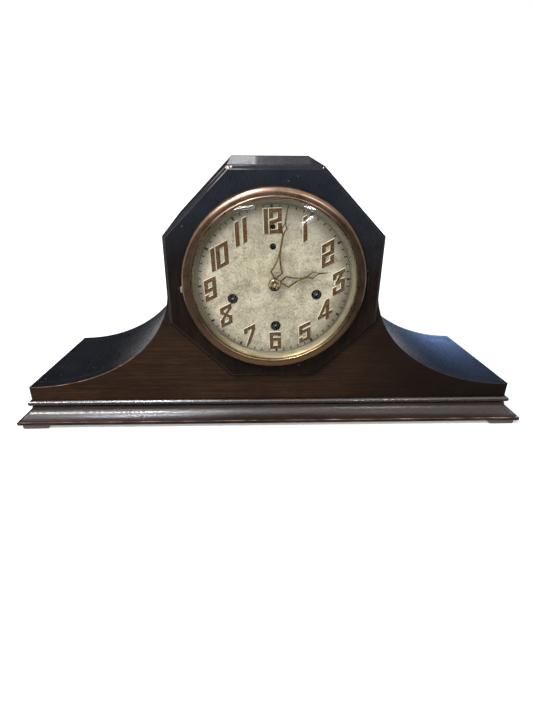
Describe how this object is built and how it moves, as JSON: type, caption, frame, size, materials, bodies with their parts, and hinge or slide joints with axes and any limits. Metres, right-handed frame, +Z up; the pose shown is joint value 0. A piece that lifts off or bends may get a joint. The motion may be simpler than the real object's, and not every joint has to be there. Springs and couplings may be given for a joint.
{
  "type": "mantel clock",
  "caption": "Wooden tambour mantel clock with an octagonal head, swept shoulders, moulded plinth, hinged domed bezel, raised-numeral dial and a key-wound chiming movement.",
  "frame": {"origin": "bottom centre of the bounding box, on the surface that the clock stands on", "axes": "+X along the clock, to the right seen from the front; -Y towards the front; +Z up"},
  "size_m": [0.5334, 0.1686, 0.2588],
  "materials": {
    "dark_wood": "near-black stained, worn satin polish",
    "brown_wood": "dark brown stained, satin polish",
    "inner_wood": "unfinished plywood",
    "bezel_brass": "lacquered, aged to copper brown",
    "pale_brass": "polished, pale",
    "plate_brass": "rolled plate",
    "wheel_brass": "turned and cut",
    "hand_brass": "stamped, darkened",
    "steel": "turned",
    "iron": "as cast, with steel rods",
    "dial": "silvered, with raised numerals",
    "glass": "clear, domed"
  },
  "bodies": {
    "case": {"bottom_board": "inner_wood", "plinth_front": "brown_wood", "plinth_left": "brown_wood", "plinth_right": "brown_wood", "foot_front_left": "brown_wood", "foot_front_right": "brown_wood", "foot_back_left": "brown_wood", "foot_back_right": "brown_wood", "front_board": "brown_wood", "octagon_panel": "dark_wood", "back_board": "brown_wood", "left_shoulder_skin": "dark_wood", "right_shoulder_skin": "dark_wood", "left_end_board": "brown_wood", "right_end_board": "brown_wood", "head_left_wall": "dark_wood", "head_right_wall": "dark_wood", "head_left_slope": "dark_wood", "head_right_slope": "dark_wood", "head_top": "dark_wood", "door_hinge_plate": "plate_brass", "bezel_hinge_plate": "plate_brass", "dial_plate": "dial", "front_plate": "plate_brass", "back_plate": "plate_brass", "pendulum_cock": "plate_brass", "chime_frame": "plate_brass", "gong_block_with_rods": "iron"},
    "bezel": {"bezel_ring": "bezel_brass", "bezel_glass": "glass", "bezel_reflector": "pale_brass"},
    "back_door": {"back_door": "brown_wood", "door_hinge_leaf": "plate_brass", "door_knob": "pale_brass"},
    "minute": {"centre_arbor": "steel", "minute_hand": "hand_brass", "hand_nut": "bezel_brass"},
    "hour": {"hour_wheel": "wheel_brass", "hour_hand": "hand_brass"},
    "motion_wheel": {"minute_wheel": "wheel_brass"},
    "middle": {"middle_wheel": "wheel_brass"},
    "time_barrel": {"time_barrel": "wheel_brass"},
    "third": {"third_wheel": "wheel_brass"},
    "escape": {"escape_wheel": "wheel_brass"},
    "anchor": {"pallet_anchor": "steel"},
    "pendulum": {"pendulum_rod": "steel", "pendulum_bob": "pale_brass"},
    "time_winder": {"time_winding_arbor": "steel"},
    "strike_winder": {"strike_winding_arbor": "steel"},
    "chime_winder": {"chime_winding_arbor": "steel"},
    "strike_barrel": {"strike_barrel": "wheel_brass"},
    "strike_wheel": {"strike_wheel": "wheel_brass"},
    "chime_barrel": {"chime_barrel": "wheel_brass"},
    "chime_drum": {"chime_drum": "wheel_brass"},
    "regulator": {"regulator_arbor": "steel"},
    "selector": {"selector_arbor": "steel"},
    "hammer_1": {"hammer_1": "steel"},
    "hammer_2": {"hammer_2": "steel"},
    "hammer_3": {"hammer_3": "steel"},
    "hammer_4": {"hammer_4": "steel"}
  },
  "joints": [
    {"name": "bezel_hinge", "type": "hinge", "parent": "case", "child": "bezel", "pos_m": [0.0881, -0.0666, 0.1572], "axis": [0, 0, 1], "range_deg": [0, 100]},
    {"name": "back_door_hinge", "type": "hinge", "parent": "case", "child": "back_door", "pos_m": [-0.079, 0.0686, 0.1572], "axis": [0, 0, 1], "range_deg": [0, 100]},
    {"name": "minute_spin", "type": "hinge", "parent": "case", "child": "minute", "pos_m": [0, -0.0648, 0.1572], "axis": [0, 1, 0], "continuous": true},
    {"name": "hour_spin", "type": "hinge", "parent": "case", "child": "hour", "pos_m": [0, -0.0648, 0.1572], "axis": [0, 1, 0], "continuous": true},
    {"name": "motion_wheel_spin", "type": "hinge", "parent": "case", "child": "motion_wheel", "pos_m": [-0.01243, -0.0648, 0.1685], "axis": [0, 1, 0], "continuous": true},
    {"name": "middle_spin", "type": "hinge", "parent": "case", "child": "middle", "pos_m": [-0.00853, -0.0648, 0.13638], "axis": [0, 1, 0], "continuous": true},
    {"name": "time_barrel_spin", "type": "hinge", "parent": "case", "child": "time_barrel", "pos_m": [0.00209, -0.0648, 0.11375], "axis": [0, 1, 0], "continuous": true},
    {"name": "third_spin", "type": "hinge", "parent": "case", "child": "third", "pos_m": [-0.01066, -0.0648, 0.1717], "axis": [0, 1, 0], "continuous": true},
    {"name": "escape_spin", "type": "hinge", "parent": "case", "child": "escape", "pos_m": [-0.00144, -0.0648, 0.18716], "axis": [0, 1, 0], "continuous": true},
    {"name": "pendulum_swing", "type": "hinge", "parent": "case", "child": "pendulum", "pos_m": [-0.0023, -0.0648, 0.20514], "axis": [0, 1, 0], "range_deg": [-4, 4]},
    {"name": "anchor_swing", "type": "hinge", "parent": "case", "child": "anchor", "pos_m": [-0.0023, -0.0648, 0.20514], "axis": [0, 1, 0], "range_deg": [-4, 4]},
    {"name": "time_winding", "type": "hinge", "parent": "case", "child": "time_winder", "pos_m": [0.00209, -0.0648, 0.11375], "axis": [0, 1, 0], "continuous": true},
    {"name": "strike_winding", "type": "hinge", "parent": "case", "child": "strike_winder", "pos_m": [-0.03899, -0.0648, 0.14151], "axis": [0, 1, 0], "continuous": true},
    {"name": "chime_winding", "type": "hinge", "parent": "case", "child": "chime_winder", "pos_m": [0.04032, -0.0648, 0.14532], "axis": [0, 1, 0], "continuous": true},
    {"name": "strike_barrel_spin", "type": "hinge", "parent": "case", "child": "strike_barrel", "pos_m": [-0.03899, -0.0648, 0.14151], "axis": [0, 1, 0], "continuous": true},
    {"name": "strike_wheel_spin", "type": "hinge", "parent": "case", "child": "strike_wheel", "pos_m": [-0.0445, -0.0648, 0.1659], "axis": [0, 1, 0], "continuous": true},
    {"name": "chime_barrel_spin", "type": "hinge", "parent": "case", "child": "chime_barrel", "pos_m": [0.04032, -0.0648, 0.14532], "axis": [0, 1, 0], "continuous": true},
    {"name": "chime_drum_spin", "type": "hinge", "parent": "case", "child": "chime_drum", "pos_m": [0.06419, -0.0648, 0.13791], "axis": [0, 1, 0], "continuous": true},
    {"name": "regulator_turn", "type": "hinge", "parent": "case", "child": "regulator", "pos_m": [-0.00246, -0.0648, 0.20834], "axis": [0, 1, 0], "range_deg": [-180, 180]},
    {"name": "selector_turn", "type": "hinge", "parent": "case", "child": "selector", "pos_m": [-0.00163, -0.0648, 0.19106], "axis": [0, 1, 0], "range_deg": [0, 60]},
    {"name": "hammer_1_lift", "type": "hinge", "parent": "case", "child": "hammer_1", "pos_m": [0.08183, -0.0648, 0.12108], "axis": [0, 1, 0], "range_deg": [0, 12]},
    {"name": "hammer_2_lift", "type": "hinge", "parent": "case", "child": "hammer_2", "pos_m": [0.08183, -0.0648, 0.12108], "axis": [0, 1, 0], "range_deg": [0, 12]},
    {"name": "hammer_3_lift", "type": "hinge", "parent": "case", "child": "hammer_3", "pos_m": [0.08183, -0.0648, 0.12108], "axis": [0, 1, 0], "range_deg": [0, 12]},
    {"name": "hammer_4_lift", "type": "hinge", "parent": "case", "child": "hammer_4", "pos_m": [0.08183, -0.0648, 0.12108], "axis": [0, 1, 0], "range_deg": [0, 12]}
  ],
  "couplings": [
    {"joint": "hour_spin", "follows": "minute_spin", "ratio": 0.083333},
    {"joint": "motion_wheel_spin", "follows": "minute_spin", "ratio": -0.33333},
    {"joint": "middle_spin", "follows": "minute_spin", "ratio": -0.25},
    {"joint": "time_barrel_spin", "follows": "minute_spin", "ratio": 0.0625},
    {"joint": "third_spin", "follows": "minute_spin", "ratio": -4},
    {"joint": "escape_spin", "follows": "minute_spin", "ratio": 16},
    {"joint": "anchor_swing", "follows": "pendulum_swing", "ratio": 1},
    {"joint": "strike_wheel_spin", "follows": "strike_barrel_spin", "ratio": -4},
    {"joint": "chime_drum_spin", "follows": "chime_barrel_spin", "ratio": -4}
  ]
}
